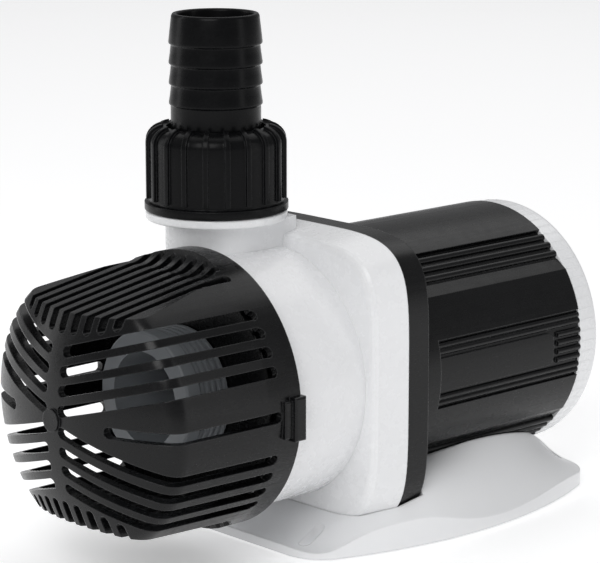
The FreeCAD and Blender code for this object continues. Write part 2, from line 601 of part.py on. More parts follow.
def board():
    disc = cyl(BOARD_R, BOARD_Y, BOARD_Y + BOARD_T)
    holes = [cyl(1.3, BOARD_Y - 1, BOARD_Y + 3, *polar(36.0, a)) for a in (45, 135, 225, 315)]
    holes += [cyl(4.6, BOARD_Y - 1, BOARD_Y + 3, *polar(CAP_SCREW_PCR, a)) for a in (0, 90, 180, 270)]
    return cut(disc, holes)


def board_parts():
    y = BOARD_Y + BOARD_T + TOUCH
    cans = [cyl(5.0, y, y + 12.5, x, z) for x, z in ((-18, 12), (-18, -2))]
    cans = [fillet_where(c, 0.8, lambda e, c=c: on_y(e, y + 12.5)) for c in cans]
    chips = [box(x - 3.3, x + 3.3, y, y + 2.3, AXIS_H + z - 3.3, AXIS_H + z + 3.3)
             for x in (-4, 6, 16) for z in (16, 6)]
    control = box(0, 12, y, y + 1.6, AXIS_H - 16, AXIS_H - 4)
    plug = box(-9, 3, y, y + 7.5, AXIS_H - 30, AXIS_H - 23)
    return Part.makeCompound(cans + chips + [control, plug])


# ================================================================ rear cap and gland
def rear_cap():
    body = cyl(MOTOR_R - 0.5, MOTOR_END + TOUCH, CAP_END)
    body = fillet_where(body, 4.0, lambda e: on_y(e, CAP_END))
    skirt = pipe(MOTOR_R - WALL - 0.15, MOTOR_R - 2 * WALL - 0.5, MOTOR_END - 5.8, MOTOR_END + 1)
    body = fuse(body, skirt)
    body = cut(body, cyl(MOTOR_R - 2 * WALL - 0.5, MOTOR_END - 7, CAP_END - WALL))
    posts = [cyl(4.4, MOTOR_END - 5.8, CAP_END - 1.0, *polar(CAP_SCREW_PCR, a)).common(
        cyl(MOTOR_R - WALL - 0.15, 0, 200)) for a in (0, 90, 180, 270)]
    ribs = []
    n = 72
    for i in range(n):
        x, z = polar(MOTOR_R - 0.9, 360.0 * i / n)
        ribs.append(cyl(0.55, MOTOR_END + 1.2, CAP_END - 4.2, x, z))
    body = fuse(body, posts, ribs)
    screws = [cyl(1.8, 0, 200, *polar(CAP_SCREW_PCR, a)) for a in (0, 90, 180, 270)]
    seats = [cyl(3.4, CAP_END - 3.0, CAP_END + 5, *polar(CAP_SCREW_PCR, a)) for a in (0, 90, 180, 270)]
    groove = pipe(MOTOR_R - WALL + 1, MOTOR_R - WALL - 1.9, MOTOR_END - 4.2, MOTOR_END - 1.8)
    return cut(body, screws, seats, groove, cyl(GLAND_R + 0.1, CAP_END - 10, CAP_END + 5, 0, -GLAND_DROP))


def torus(r, thick, y):
    return Part.makeTorus(r, thick, V(0, y, AXIS_H), Y)


def hex_prism(across, y0, y1):
    r = across / math.sqrt(3)
    pts = [V(*(lambda p: (p[0], y0, AXIS_H + p[1]))(polar(r, 60 * i + 30))) for i in range(6)]
    return face_of(pts).extrude(V(0, y1 - y0, 0))


def lowered(shape):
    return shape.translated(V(0, 0, -GLAND_DROP))


def gland_body():
    hexa = hex_prism(17.0, CAP_END + TOUCH, CAP_END + 4.5).common(cyl(9.4, CAP_END, CAP_END + 9))
    body = fuse(hexa, cyl(GLAND_R, CAP_END - 8.0, CAP_END + 12.5))
    body = cut(body, cyl(CORD_R + 0.9, CAP_END - 9, CAP_END + 20), cyl(4.6, CAP_END + 6.0, CAP_END + 20))
    return lowered(body)


def gland_nut():
    hexa = hex_prism(16.0, CAP_END + 5.0, CAP_END + 11.0).common(cyl(9.0, CAP_END, CAP_END + 20))
    dome = cyl(7.4, CAP_END + 10.5, CAP_END + 16.0)
    dome = fillet_where(dome, 2.5, lambda e: on_y(e, CAP_END + 16.0))
    body = fuse(hexa, dome)
    body = cut(body, cyl(GLAND_R + TOUCH, CAP_END + 4, CAP_END + 13.0),
               cyl(CORD_R + 0.9, CAP_END + 4, CAP_END + 20))
    return lowered(body)


# ================================================================ union and hose tail
def nut_profile(grow):
    """Half section of the nut's outside, moved outwards by grow above its base band."""
    r = NUT_R - NUT_RIB_H + grow
    z = NUT_Z1 - NUT_RIB_H * 0.5 + grow * 0.5
    return [(NUT_MOUTH_R, NUT_Z0), (NUT_BASE_R - 0.6, NUT_Z0), (NUT_BASE_R, NUT_Z0 + 0.6),
            (NUT_BASE_R, NUT_Z0 + NUT_BASE_T - 0.8), (r, NUT_Z0 + NUT_BASE_T + 0.6 - grow * 0.5),
            (r, z - 6.4), (r - 0.3, z - 4.9), (r - 1.2, z - 3.2), (r - 2.6, z - 1.7), (r - 4.2, z - 0.6),
            (r - 5.4, z - 0.1), (NUT_MOUTH_R, z)]


def union_nut():
    body = revolve_up(nut_profile(0.0))
    shell = revolve_up(nut_profile(NUT_RIB_H)).cut(up(NUT_MOUTH_R + 2.6, NUT_Z0 - 1, NUT_Z1 + 1))
    ribs = []
    for i in range(NUT_RIBS):
        plate = box(OUT_X, OUT_X + NUT_BASE_R + 1, OUT_Y - NUT_RIB_W / 2, OUT_Y + NUT_RIB_W / 2,
                    NUT_Z0 + NUT_BASE_T - 1.0, NUT_Z1 + 1)
        rib = shell.common(plate)
        rib.rotate(V(OUT_X, OUT_Y, 0), Z, NUT_RIB_START + 360.0 * i / NUT_RIBS)
        ribs.append(rib)
    body = fuse(body, ribs)
    return cut(body, up(OUT_THREAD_R + GAP + 0.15, NUT_Z0 - 1, FLANGE_Z0 + TAIL_FLANGE_T + GAP))


def hose_tail():
    pts = [(BORE_R, FLANGE_Z0), (TAIL_FLANGE_R, FLANGE_Z0), (TAIL_FLANGE_R, FLANGE_Z0 + TAIL_FLANGE_T),
           (TAIL_R + 0.2, FLANGE_Z0 + TAIL_FLANGE_T)]
    for i in range(BARBS):
        crest = BARB_TOP - BARB_PITCH * (BARBS - 1 - i)
        pts += [(TAIL_R + (0.2 if i == 0 else 0.0), crest - 0.5),
                (BARB_R, crest - 0.1), (BARB_R, crest + 0.7)]
        if i < BARBS - 1:
            pts += [(TAIL_R, crest + BARB_PITCH - 0.8)]
    pts += [(TAIL_R - 0.25, TAIL_END - 0.7), (TAIL_R - 0.75, TAIL_END), (BORE_R + 0.5, TAIL_END),
            (BORE_R, TAIL_END - 0.6)]
    return revolve_up(pts)


def gasket():
    z1 = FLANGE_Z0 - TOUCH
    return tube_up(TAIL_FLANGE_R - 0.2, BORE_R + 0.6, z1 - GASKET_T, z1)


# ================================================================ base
def base_outline(grow=0.0):
    """Boat-shaped plan, as a tall prism; grow moves its walls outwards."""
    half = BASE_HALF + grow
    y0, y1 = BASE_Y0 - grow, BASE_Y1 + grow
    r = BASE_SIDE_R

    def at(y):
        return half - (r - math.sqrt(r * r - (y - BASE_MID) ** 2))
    a, b = at(y0), at(y1)
    right = Part.Arc(V(a, y0, -1), V(half, BASE_MID, -1), V(b, y1, -1)).toShape()
    left = Part.Arc(V(-b, y1, -1), V(-half, BASE_MID, -1), V(-a, y0, -1)).toShape()
    wire = Part.Wire([right, Part.makeLine(V(b, y1, -1), V(-b, y1, -1)), left,
                      Part.makeLine(V(-a, y0, -1), V(a, y0, -1))])
    solid = Part.Face(wire).extrude(V(0, 0, 60))
    upright = [e for e in solid.Edges if e.BoundBox.ZLength > 50]
    return solid.makeFillet(17.0 + grow, upright)


def hill(drop=0.0):
    """Crowned upper form of the base, lofted through sections across the pump."""
    far = 64.0
    seat = AXIS_H - BLOCK_HALF
    # y, height at the far edge, half width and height of the shoulder, half width and height of the top,
    # all heights from the underside of the casing's block
    rows = ((-40.0, -1.9, 46.0, -1.1, 30.0, -0.7), (-24.0, -1.9, 46.0, -0.3, 32.0, 0.3),
            (-15.0, -1.7, 47.0, 4.3, 34.0, 5.9), (0.0, -3.2, 50.5, 8.8, 36.0, 12.8),
            (11.5, -4.2, 52.0, 11.3, 37.0, 17.3), (45.0, -6.2, 47.0, 13.3, 37.4, 21.8),
            (80.0, -6.2, 42.5, 9.8, 34.0, 20.8), (104.0, -5.2, 40.0, 2.8, 28.0, 10.3),
            (120.0, -1.9, 36.0, -0.9, 22.0, -0.3))
    wires = []
    for y, *row in rows:
        he, ws, hs, wt, ht = row[0] + seat, row[1], row[2] + seat, row[3], row[4] + seat

        def section(sign):
            curve = Part.BSplineCurve()
            row = [(far, he), ((far + ws) / 2, he + 0.42 * (hs - he)), (ws, hs), (wt, ht)]
            row = row if sign > 0 else row[::-1]
            curve.interpolate(Points=[V(sign * x, y, z - drop) for x, z in row])
            return curve.toShape()
        right, left = section(1), section(-1)
        top = Part.makeLine(V(wt, y, ht - drop), V(-wt, y, ht - drop))
        low = -3.0 - drop
        walls = [Part.makeLine(V(-far, y, he - drop), V(-far, y, low)),
                 Part.makeLine(V(-far, y, low), V(far, y, low)),
                 Part.makeLine(V(far, y, low), V(far, y, he - drop))]
        wires.append(Part.Wire([right, top, left] + walls))
    return Part.makeLoft(wires, True, False)


def base_plate():
    clear = 0.1
    body = hill().common(base_outline())
    body = body.common(box(-80, 80, BASE_Y0 - 5, BASE_Y1 + 5, 0.8, 60))
    cradle = cyl(MOTOR_R + clear, FLANGE_T, BASE_Y1 + 5)
    seat = squircle_block(block_stations(clear) + [(FLANGE_T + 0.5, BLOCK_HALF + clear)])
    drum = cyl(VOLUTE_R + 0.4, BASE_Y0 - 5, BLOCK_FRONT + 1)
    hollow = hill(BASE_WALL).common(base_outline(-BASE_WALL))
    keep = [cyl(MOTOR_R + BASE_WALL, FLANGE_T + 3, BASE_Y1 + 5),
            box(-60, 60, BLOCK_FRONT - BASE_WALL, FLANGE_T + BASE_WALL + 1,
                AXIS_H - BLOCK_HALF - BASE_WALL, 60)]
    hollow = cut(hollow, keep)
    spots = [(x, y) for x in (-SLOT_X, SLOT_X) for y in (SLOT_FRONT, SLOT_REAR)]
    solid = [up(SLOT_R + 4.0, -1, 60, x, y) for x, y in spots]
    solid += [box(-w - 2, w + 2, y - STRIP_W / 2 - 2, y + STRIP_W / 2 + 2, -1, 60) for y, w in STRIPS]
    solid += [up(5.5, -1, 60, x, y) for x, y, rear in BASE_SCREWS]
    solid += [box(-1.1, 1.1, BASE_Y0, BASE_Y1, -1, 60)]
    solid += [box(-70, 70, y - 1.1, y + 1.1, -1, 60) for y in (28.0, 56.0)]
    hollow = cut(hollow, solid)
    body = cut(body, cradle, seat, drum, hollow)
    for x, y in spots:
        slot = up(SLOT_R, -1, 60, x, y - SLOT_L / 2 + SLOT_R)
        slot = slot.fuse(up(SLOT_R, -1, 60, x, y + SLOT_L / 2 - SLOT_R))
        slot = slot.fuse(box(x - SLOT_R, x + SLOT_R,
                             y - SLOT_L / 2 + SLOT_R, y + SLOT_L / 2 - SLOT_R, -1, 60))
        body = cut(body, slot.removeSplitter())
    for y, w in STRIPS:
        body = body.cut(strip(y, w + TOUCH, STRIP_W / 2 + TOUCH, STRIP_T + TOUCH))
    for x, y, rear in BASE_SCREWS:
        body = cut(body, up(2.2, -1, 60, x, y), up(4.0, -1, REAR_SEAT if rear else FRONT_SEAT, x, y))
    return body.removeSplitter()


def strip(y, half, width, thick):
    """Rubber strip with round ends, lying across the pump."""
    bar = box(-half + width, half - width, y - width, y + width, 0, thick)
    ends = [up(width, 0, thick, x, y) for x in (-half + width, half - width)]
    return fuse(bar, ends)


def foot_strips():
    return Part.makeCompound([fillet_where(strip(y, w, STRIP_W / 2, STRIP_T), 0.5, lambda e: on_z(e, 0))
                              for y, w in STRIPS])


def base_screws():
    out = []
    for x, y, rear in BASE_SCREWS:
        one = screw(3.5, 2.4, 1.7, 8.4 if rear else 11.8)
        out.append(placed(one, V(x, y, (REAR_SEAT if rear else FRONT_SEAT) - TOUCH), X, -90))
    return Part.makeCompound(out)


def casing_screws():
    one = screw(3.5, 2.6, 1.7, 20.0)
    return Part.makeCompound([placed(one, V(sx * SCREW_AT, FLANGE_T - 3.0 + TOUCH, AXIS_H + sz * SCREW_AT))
                              for sx in (-1, 1) for sz in (-1, 1)])


def cap_screws():
    one = screw(3.0, 2.2, 1.45, 26.0)
    out = []
    for a in (0, 90, 180, 270):
        x, z = polar(CAP_SCREW_PCR, a)
        out.append(placed(one, V(x, CAP_END - 3.0 + TOUCH, AXIS_H + z)))
    return Part.makeCompound(out)


def board_screws():
    one = screw(2.1, 1.5, 1.05, 6.5, 0.9, 0.9)
    out = []
    for a in (45, 135, 225, 315):
        x, z = polar(36.0, a)
        out.append(placed(one, V(x, BOARD_Y + BOARD_T + TOUCH, AXIS_H + z)))
    return Part.makeCompound(out)


def washers():
    front = pipe(5.6, SHAFT_R + RUN, -45.0, -43.3)
    rear = pipe(5.6, SHAFT_R + RUN, MAGNET_Y1 + GAP, MAGNET_Y1 + GAP + 1.7)
    return Part.makeCompound([front, rear])


NODES = {
    "strainer_cage": strainer,
    "inlet_spigot": inlet_spigot,
    "front_cover": front_cover,
    "volute_casing": volute,
    "union_nut": union_nut,
    "hose_tail": hose_tail,
    "union_gasket": gasket,
    "casing_seal": lambda: torus(44.4, 1.25, CHAMBER_BACK + 1.3),
    "casing_screws": casing_screws,
    "motor_housing": housing,
    "rotor_can": rotor_can,
    "stator_core": stator_core,
    "stator_coils": coils,
    "driver_board": board,
    "board_parts": board_parts,
    "board_screws": board_screws,
    "shaft": shaft,
    "front_shaft_cup": lambda: holder(-55.0 + TOUCH, -45.1, 1),
    "rear_shaft_cup": lambda: holder(MAGNET_Y1 + GAP + 1.8, SHAFT_Y1 + 0.75, -1),
    "thrust_washers": washers,
    "impeller": impeller,
    "rotor_magnet": magnet,
    "rotor_bushes": lambda: Part.makeCompound([bush(-43.0), bush(MAGNET_Y1 - BUSH_L + 0.1)]),
    "rear_cap": rear_cap,
    "rear_cap_seal": lambda: torus(MOTOR_R - WALL - 0.95, 0.9, MOTOR_END - 3.0),
    "rear_cap_screws": cap_screws,
    "gland_body": gland_body,
    "gland_seal": lambda: lowered(pipe(4.5, CORD_R + 0.2, CAP_END + 6.1, CAP_END + 12.0)),
    "gland_nut": gland_nut,
    "base_plate": base_plate,
    "base_screws": base_screws,
    "foot_strips": foot_strips,
}

os.makedirs("parts", exist_ok=True)
for name, make in NODES.items():
    shape = make()
    if not shape.isValid():
        shape = shape.removeSplitter()
    shape.exportStep("parts/" + name + ".step")
    print(name, len(shape.Solids), round(shape.Volume), shape.isValid())
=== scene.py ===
import json
import math

import bpy
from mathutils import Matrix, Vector

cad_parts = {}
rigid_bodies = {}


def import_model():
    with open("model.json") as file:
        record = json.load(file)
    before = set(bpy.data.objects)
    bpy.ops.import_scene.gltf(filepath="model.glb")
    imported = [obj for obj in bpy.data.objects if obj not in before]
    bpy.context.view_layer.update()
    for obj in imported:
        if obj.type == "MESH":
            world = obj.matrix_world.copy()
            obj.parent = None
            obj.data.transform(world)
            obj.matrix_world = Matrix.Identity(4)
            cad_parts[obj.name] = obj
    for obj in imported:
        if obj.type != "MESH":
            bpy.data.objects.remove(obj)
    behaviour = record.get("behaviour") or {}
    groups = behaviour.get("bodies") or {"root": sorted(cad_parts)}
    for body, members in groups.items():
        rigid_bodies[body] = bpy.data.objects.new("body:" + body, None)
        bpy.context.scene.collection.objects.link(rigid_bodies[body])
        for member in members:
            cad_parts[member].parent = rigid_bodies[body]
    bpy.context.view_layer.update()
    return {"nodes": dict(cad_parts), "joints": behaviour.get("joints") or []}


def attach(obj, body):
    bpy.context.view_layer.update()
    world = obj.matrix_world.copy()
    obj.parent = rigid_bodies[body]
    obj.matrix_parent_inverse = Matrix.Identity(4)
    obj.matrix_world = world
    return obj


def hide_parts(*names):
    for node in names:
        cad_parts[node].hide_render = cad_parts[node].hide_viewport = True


for left_over in list(bpy.data.objects):
    bpy.data.objects.remove(left_over)
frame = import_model()

bl_info = {
    "name": "Circulation Pump Finish",
    "version": (1, 0, 0),
    "blender": (4, 5, 0),
    "location": "View3D > Sidebar > Pump",
    "description": "Finishes a submersible circulation pump and builds its union and its studio",
    "category": "Object",
}

JOINTS = {joint["name"]: joint for joint in frame["joints"]}
OUT_X, OUT_Y = JOINTS["union_turn"]["pos_m"][:2]
AXIS_Z = JOINTS["rotor_spin"]["pos_m"][2]
MM = 0.001

# the union, in metres; heights are from the floor
NUT_FOOT, NUT_TOP, NUT_LEDGE = (AXIS_Z + height * MM for height in (62.2, 93.2, 86.3))
NUT_BORE, NUT_MOUTH, NUT_FOOT_R = 23.45 * MM, 18.6 * MM, 26.9 * MM
RIB_START, RIB_CLEAR = 4.0 * MM, 1.2 * MM
RIB_TURN = math.radians(4.2)
TAIL_FLANGE, TAIL_TOP, FIRST_BARB = (AXIS_Z + height * MM for height in (82.4, 135, 101.6))
TAIL_BORE, TAIL_FLANGE_R, TAIL_FLANGE_T = 14.2 * MM, 22.6 * MM, 3.6 * MM
BARB_PITCH, BARBS = 7.5 * MM, 4
THREAD_R, THREAD_FOOT, THREAD_TURNS = 22.98 * MM, AXIS_Z + 63.4 * MM, 5

# the studio
CENTRE = (0.0, -0.005, 0.085)
CAMERA_AT, CAMERA_LOOKS = Vector((0.7155, -0.6662, 0.3067)), Vector((-0.7167, 0.6641, -0.2128))
CAMERA_LENS, CAMERA_SENSOR = 158.1, 36.0


# ---------------------------------------------------------------- what a user may change
class PumpFinishSettings(bpy.types.PropertyGroup):
    black: bpy.props.FloatVectorProperty(
        name="Black plastic", description="Colour of the motor, strainer, nut and hose tail",
        subtype="COLOR", size=3, min=0, max=1, default=(0.0036, 0.0037, 0.0041))
    black_roughness: bpy.props.FloatProperty(
        name="Black roughness", description="How dull the black plastic is",
        subtype="FACTOR", min=0, max=1, default=0.27)
    white: bpy.props.FloatVectorProperty(
        name="White plastic", description="Colour of the casing, rear cap and base",
        subtype="COLOR", size=3, min=0, max=1, default=(0.83, 0.835, 0.845))
    white_roughness: bpy.props.FloatProperty(
        name="White roughness", description="How dull the white plastic is",
        subtype="FACTOR", min=0, max=1, default=0.27)
    grey: bpy.props.FloatVectorProperty(
        name="Grey plastic", description="Colour of the ringed inlet tube",
        subtype="COLOR", size=3, min=0, max=1, default=(0.22, 0.235, 0.25))
    edge: bpy.props.FloatProperty(
        name="Edge rounding", description="Radius that light sees on moulded edges",
        unit="LENGTH", subtype="DISTANCE", min=0, max=0.002, default=0.00045)
    wear: bpy.props.FloatProperty(
        name="Edge wear", description="How much handling has polished the edges",
        subtype="FACTOR", min=0, max=1, default=0.35)


class PumpUnionSettings(bpy.types.PropertyGroup):
    nut_radius: bpy.props.FloatProperty(
        name="Nut radius", description="Radius of the union nut between its ribs",
        unit="LENGTH", subtype="DISTANCE", default=25.3 * MM)
    nut_ribs: bpy.props.IntProperty(
        name="Nut ribs", description="Grip ribs round the nut", min=6, max=40, default=20)
    rib_height: bpy.props.FloatProperty(
        name="Rib height", description="How far each grip rib stands up",
        unit="LENGTH", subtype="DISTANCE", default=1.15 * MM)
    tail_radius: bpy.props.FloatProperty(
        name="Tail radius", description="Radius of the hose tail between its barbs",
        unit="LENGTH", subtype="DISTANCE", default=16.6 * MM)
    barb_radius: bpy.props.FloatProperty(
        name="Barb radius", description="Radius over the barbs that hold the hose",
        unit="LENGTH", subtype="DISTANCE", default=17.4 * MM)
    thread_pitch: bpy.props.FloatProperty(
        name="Thread pitch", description="Rise of the union's thread in one turn",
        unit="LENGTH", subtype="DISTANCE", default=3.0 * MM)


class PumpStageSettings(bpy.types.PropertyGroup):
    floor: bpy.props.FloatVectorProperty(
        name="Floor", description="Colour of the pale floor",
        subtype="COLOR", size=3, min=0, max=1, default=(0.95, 0.95, 0.952))
    key_power: bpy.props.FloatProperty(
        name="Key light", description="Power of the light high on the camera's side",
        unit="POWER", default=8.0)
    top_power: bpy.props.FloatProperty(
        name="Top light", description="Power of the wide light over pump and floor",
        unit="POWER", default=31.0)
    fill_power: bpy.props.FloatProperty(
        name="Strip lights", description="Power of the narrow lights on the left and right",
        unit="POWER", default=1.3)
    sky: bpy.props.FloatProperty(
        name="Room light", description="Strength of the even light all round", default=0.30)
    floor_glow: bpy.props.FloatProperty(
        name="Floor glow", description="Light that the pale floor gives back by itself",
        min=0, max=1, default=0.34)


# ---------------------------------------------------------------- mesh work
def begin_ring(name, radius, z, count, turn=0.0):
    """Adds an open ring round the outlet's axis, ready to draw up, all of it selected."""
    bpy.ops.object.select_all(action="DESELECT")
    bpy.ops.mesh.primitive_circle_add(vertices=count, radius=radius, location=(OUT_X, OUT_Y, z),
                                      rotation=(0, 0, turn))
    piece = bpy.context.object
    piece.name = name
    piece.data.name = name
    bpy.ops.object.transform_apply(location=True, rotation=True, scale=True)
    bpy.ops.object.mode_set(mode="EDIT")
    bpy.ops.mesh.select_mode(type="EDGE")
    bpy.ops.mesh.select_all(action="SELECT")
    return piece


def draw_up(stations):
    """Extrudes the selected ring through each (radius, height) in turn."""
    for (r0, z0), (r1, z1) in zip(stations, stations[1:]):
        bpy.ops.mesh.extrude_region_move(TRANSFORM_OT_translate={"value": (0, 0, z1 - z0)})
        bpy.ops.transform.resize(value=(r1 / r0, r1 / r0, 1), center_override=(OUT_X, OUT_Y, z1))


def turned_piece(name, stations, count, turn=0.0):
    """A closed turned piece; the last station is the first one again."""
    piece = begin_ring(name, *stations[0], count, turn)
    draw_up(stations)
    bpy.ops.mesh.select_all(action="SELECT")
    bpy.ops.mesh.remove_doubles(threshold=1e-6)
    bpy.ops.mesh.normals_make_consistent(inside=False)
    return piece


def pick_faces(piece, test):
    """Selects the faces that pass the test on their centre and normal, and no others."""
    bpy.ops.mesh.select_mode(type="FACE")
    bpy.ops.mesh.select_all(action="DESELECT")
    bpy.ops.object.mode_set(mode="OBJECT")
    for face in piece.data.polygons:
        face.select = test(face.center, face.normal)
    bpy.ops.object.mode_set(mode="EDIT")


def add_modifier(kind, **settings):
    bpy.ops.object.modifier_add(type=kind)
    modifier = bpy.context.object.modifiers[-1]
    for key, value in settings.items():
        setattr(modifier, key, value)
    bpy.ops.object.modifier_apply(modifier=modifier.name)


def finish_piece(piece, body, material, smooth=35):
    if bpy.context.object.mode == "EDIT":
        bpy.ops.object.mode_set(mode="OBJECT")
    bpy.ops.object.shade_smooth_by_angle(angle=math.radians(smooth))
    piece.data.materials.clear()
    piece.data.materials.append(material)
    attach(piece, body)


# ---------------------------------------------------------------- materials
def put(tree, kind, inputs=None, **settings):
    made = tree.nodes.new(kind)
    for key, value in settings.items():
        setattr(made, key, value)
    for key, value in (inputs or {}).items():
        if isinstance(value, bpy.types.NodeSocket):
            tree.links.new(value, made.inputs[key])
        else:
            made.inputs[key].default_value = value
    return made


def mix_colour(tree, factor, a, b):
    made = put(tree, "ShaderNodeMix", data_type="RGBA")
    for index, value in ((0, factor), (6, a), (7, b)):
        if isinstance(value, bpy.types.NodeSocket):
            tree.links.new(value, made.inputs[index])
        else:
            made.inputs[index].default_value = value if index == 0 else (*value[:3], 1.0)
    return made.outputs[2]


def spread(tree, value, low, high, to_low, to_high):
    made = put(tree, "ShaderNodeMapRange", {"Value": value, "From Min": low, "From Max": high,
                                            "To Min": to_low, "To Max": to_high})
    return made.outputs["Result"]


def shade(colour, factor):
    return tuple(min(1.0, c * factor) for c in colour)


def moulded(name, colour, roughness, edge, wear=0.0, worn=None, grain=2400.0, relief=0.000012,
            specular=0.5, coat=0.0, blotch=0.08, streak=0.0):
    """Injection-moulded plastic: fine grain, soft edges, faint blotches and polished wear on edges."""
    material = bpy.data.materials.new(name)
    material.use_nodes = True
    tree = material.node_tree
    tree.nodes.clear()
    coords = put(tree, "ShaderNodeTexCoord").outputs["Object"]
    broad = put(tree, "ShaderNodeTexNoise", {"Vector": coords, "Scale": 22.0, "Detail": 4.0,
                                             "Roughness": 0.6}).outputs["Fac"]
    fine = put(tree, "ShaderNodeTexNoise", {"Vector": coords, "Scale": grain,
                                            "Detail": 2.0}).outputs["Fac"]
    patch = put(tree, "ShaderNodeTexNoise", {"Vector": coords, "Scale": 160.0, "Detail": 5.0,
                                             "Roughness": 0.7}).outputs["Fac"]
    tint = spread(tree, broad, 0.3, 0.7, 0.0, 1.0)
    base = mix_colour(tree, tint, shade(colour, 1 - blotch), shade(colour, 1 + blotch))
    rough = spread(tree, patch, 0.25, 0.75, roughness - 0.05, roughness + 0.05)
    soft = put(tree, "ShaderNodeBevel", {"Radius": edge}, samples=6).outputs["Normal"]
    if wear > 0:
        wide = put(tree, "ShaderNodeBevel", {"Radius": edge * 1.6}, samples=6).outputs["Normal"]
        flat = put(tree, "ShaderNodeNewGeometry").outputs["Normal"]
        dot = put(tree, "ShaderNodeVectorMath", {0: wide, 1: flat},
                  operation="DOT_PRODUCT").outputs["Value"]
        rub = spread(tree, dot, 0.90, 0.99, 1.0, 0.0)
        uneven = spread(tree, patch, 0.35, 0.65, 0.35, 1.0)
        amount = put(tree, "ShaderNodeMath", {0: rub, 1: uneven}, operation="MULTIPLY").outputs[0]
        amount = put(tree, "ShaderNodeMath", {0: amount, 1: wear}, operation="MULTIPLY").outputs[0]
        base = mix_colour(tree, amount, base, worn or shade(colour, 3.0))
        rough = put(tree, "ShaderNodeMath", {0: rough, 1: amount}, operation="SUBTRACT",
                    use_clamp=True).outputs[0]
    if streak > 0:
        lines = put(tree, "ShaderNodeMapping", {"Vector": coords, "Scale": (1.0, 0.05, 1.0)}).outputs[0]
        scuffs = put(tree, "ShaderNodeTexNoise", {"Vector": lines, "Scale": 700.0,
                                                  "Detail": 3.0}).outputs["Fac"]
        rough = put(tree, "ShaderNodeMath", {0: rough, 1: spread(tree, scuffs, 0.3, 0.7, -streak, streak)},
                    operation="ADD", use_clamp=True).outputs[0]
    bump = put(tree, "ShaderNodeBump", {"Strength": 0.5, "Distance": relief, "Height": fine,
                                        "Normal": soft}).outputs["Normal"]
    shader = put(tree, "ShaderNodeBsdfPrincipled", {"Base Color": base, "Roughness": rough, "Normal": bump,
                                                    "Specular IOR Level": specular, "Coat Weight": coat,
                                                    "Coat Roughness": 0.2, "IOR": 1.5})
    put(tree, "ShaderNodeOutputMaterial", {"Surface": shader.outputs[0]})
    return material


def banded(name, colour, second, direction, scale, roughness, metallic=0.0, relief=0.00005):
    """Even bands of two tones: stacked steel sheets, wound wire, board tracks."""
    material = bpy.data.materials.new(name)
    material.use_nodes = True
    tree = material.node_tree
    tree.nodes.clear()
    coords = put(tree, "ShaderNodeTexCoord").outputs["Object"]
    wave = put(tree, "ShaderNodeTexWave", {"Vector": coords, "Scale": scale, "Distortion": 0.25,
                                           "Detail": 1.0}, bands_direction=direction).outputs["Fac"]
    patch = put(tree, "ShaderNodeTexNoise", {"Vector": coords, "Scale": 240.0,
                                             "Detail": 4.0}).outputs["Fac"]
    base = mix_colour(tree, wave, colour, second)
    rough = spread(tree, patch, 0.3, 0.7, roughness - 0.06, roughness + 0.06)
    soft = put(tree, "ShaderNodeBevel", {"Radius": 0.0002}, samples=4).outputs["Normal"]
    bump = put(tree, "ShaderNodeBump", {"Strength": 0.6, "Distance": relief, "Height": wave,
                                        "Normal": soft}).outputs["Normal"]
    shader = put(tree, "ShaderNodeBsdfPrincipled", {"Base Color": base, "Roughness": rough, "Normal": bump,
                                                    "Metallic": metallic})
    put(tree, "ShaderNodeOutputMaterial", {"Surface": shader.outputs[0]})
    return material


def dress(material, *nodes):
    """Gives CAD nodes their finish."""
    for name in nodes:
        slots = frame["nodes"][name].material_slots
        for slot in slots:
            slot.material = material


def black_plastic(settings, name="Satin black plastic", specular=0.24):
    known = bpy.data.materials.get(name)
    return known or moulded(name, settings.black, settings.black_roughness, settings.edge,
                            settings.wear, worn=(0.06, 0.061, 0.064), specular=specular, streak=0.03)


def union_black(settings):
    """The union is moulded in a deeper, less glossy black than the motor."""
    return black_plastic(settings, "Deep black union plastic", 0.1)


# ---------------------------------------------------------------- operators
class PUMP_OT_finish_white(bpy.types.Operator):
    """Gives the casing, rear cap and base their white moulded plastic"""
    bl_idname = "pump.finish_white"
    bl_label = "Finish White Mouldings"

    def execute(self, context):
        s = context.scene.pump_finish
        white = moulded("White moulded plastic", s.white, s.white_roughness, s.edge * 1.4, s.wear * 0.3,
                        worn=(0.93, 0.93, 0.93), relief=0.000006, coat=0.15, blotch=0.012)
        base = moulded("White base plastic", shade(s.white, 1.02), s.white_roughness + 0.05, s.edge * 2.2,
                       s.wear * 0.3, worn=(0.93, 0.93, 0.93), relief=0.000008, coat=0.1, blotch=0.012)
        dress(white, "volute_casing", "rear_cap")
        dress(base, "base_plate")
        return {"FINISHED"}


class PUMP_OT_finish_black(bpy.types.Operator):
    """Gives the motor body, strainer, front cover and cord gland their satin black plastic"""
    bl_idname = "pump.finish_black"
    bl_label = "Finish Black Mouldings"

    def execute(self, context):
        s = context.scene.pump_finish
        dress(black_plastic(s), "strainer_cage", "motor_housing", "front_cover")
        nylon = moulded("Black nylon", shade(s.black, 1.2), 0.45, s.edge, s.wear,
                        worn=(0.06, 0.06, 0.06))
        dress(nylon, "gland_body", "gland_nut")
        grey = moulded("Dark grey plastic", s.grey, 0.34, s.edge * 0.7, s.wear * 0.5,
                       worn=(0.2, 0.21, 0.22))
        dress(grey, "inlet_spigot", "rotor_can")
        return {"FINISHED"}


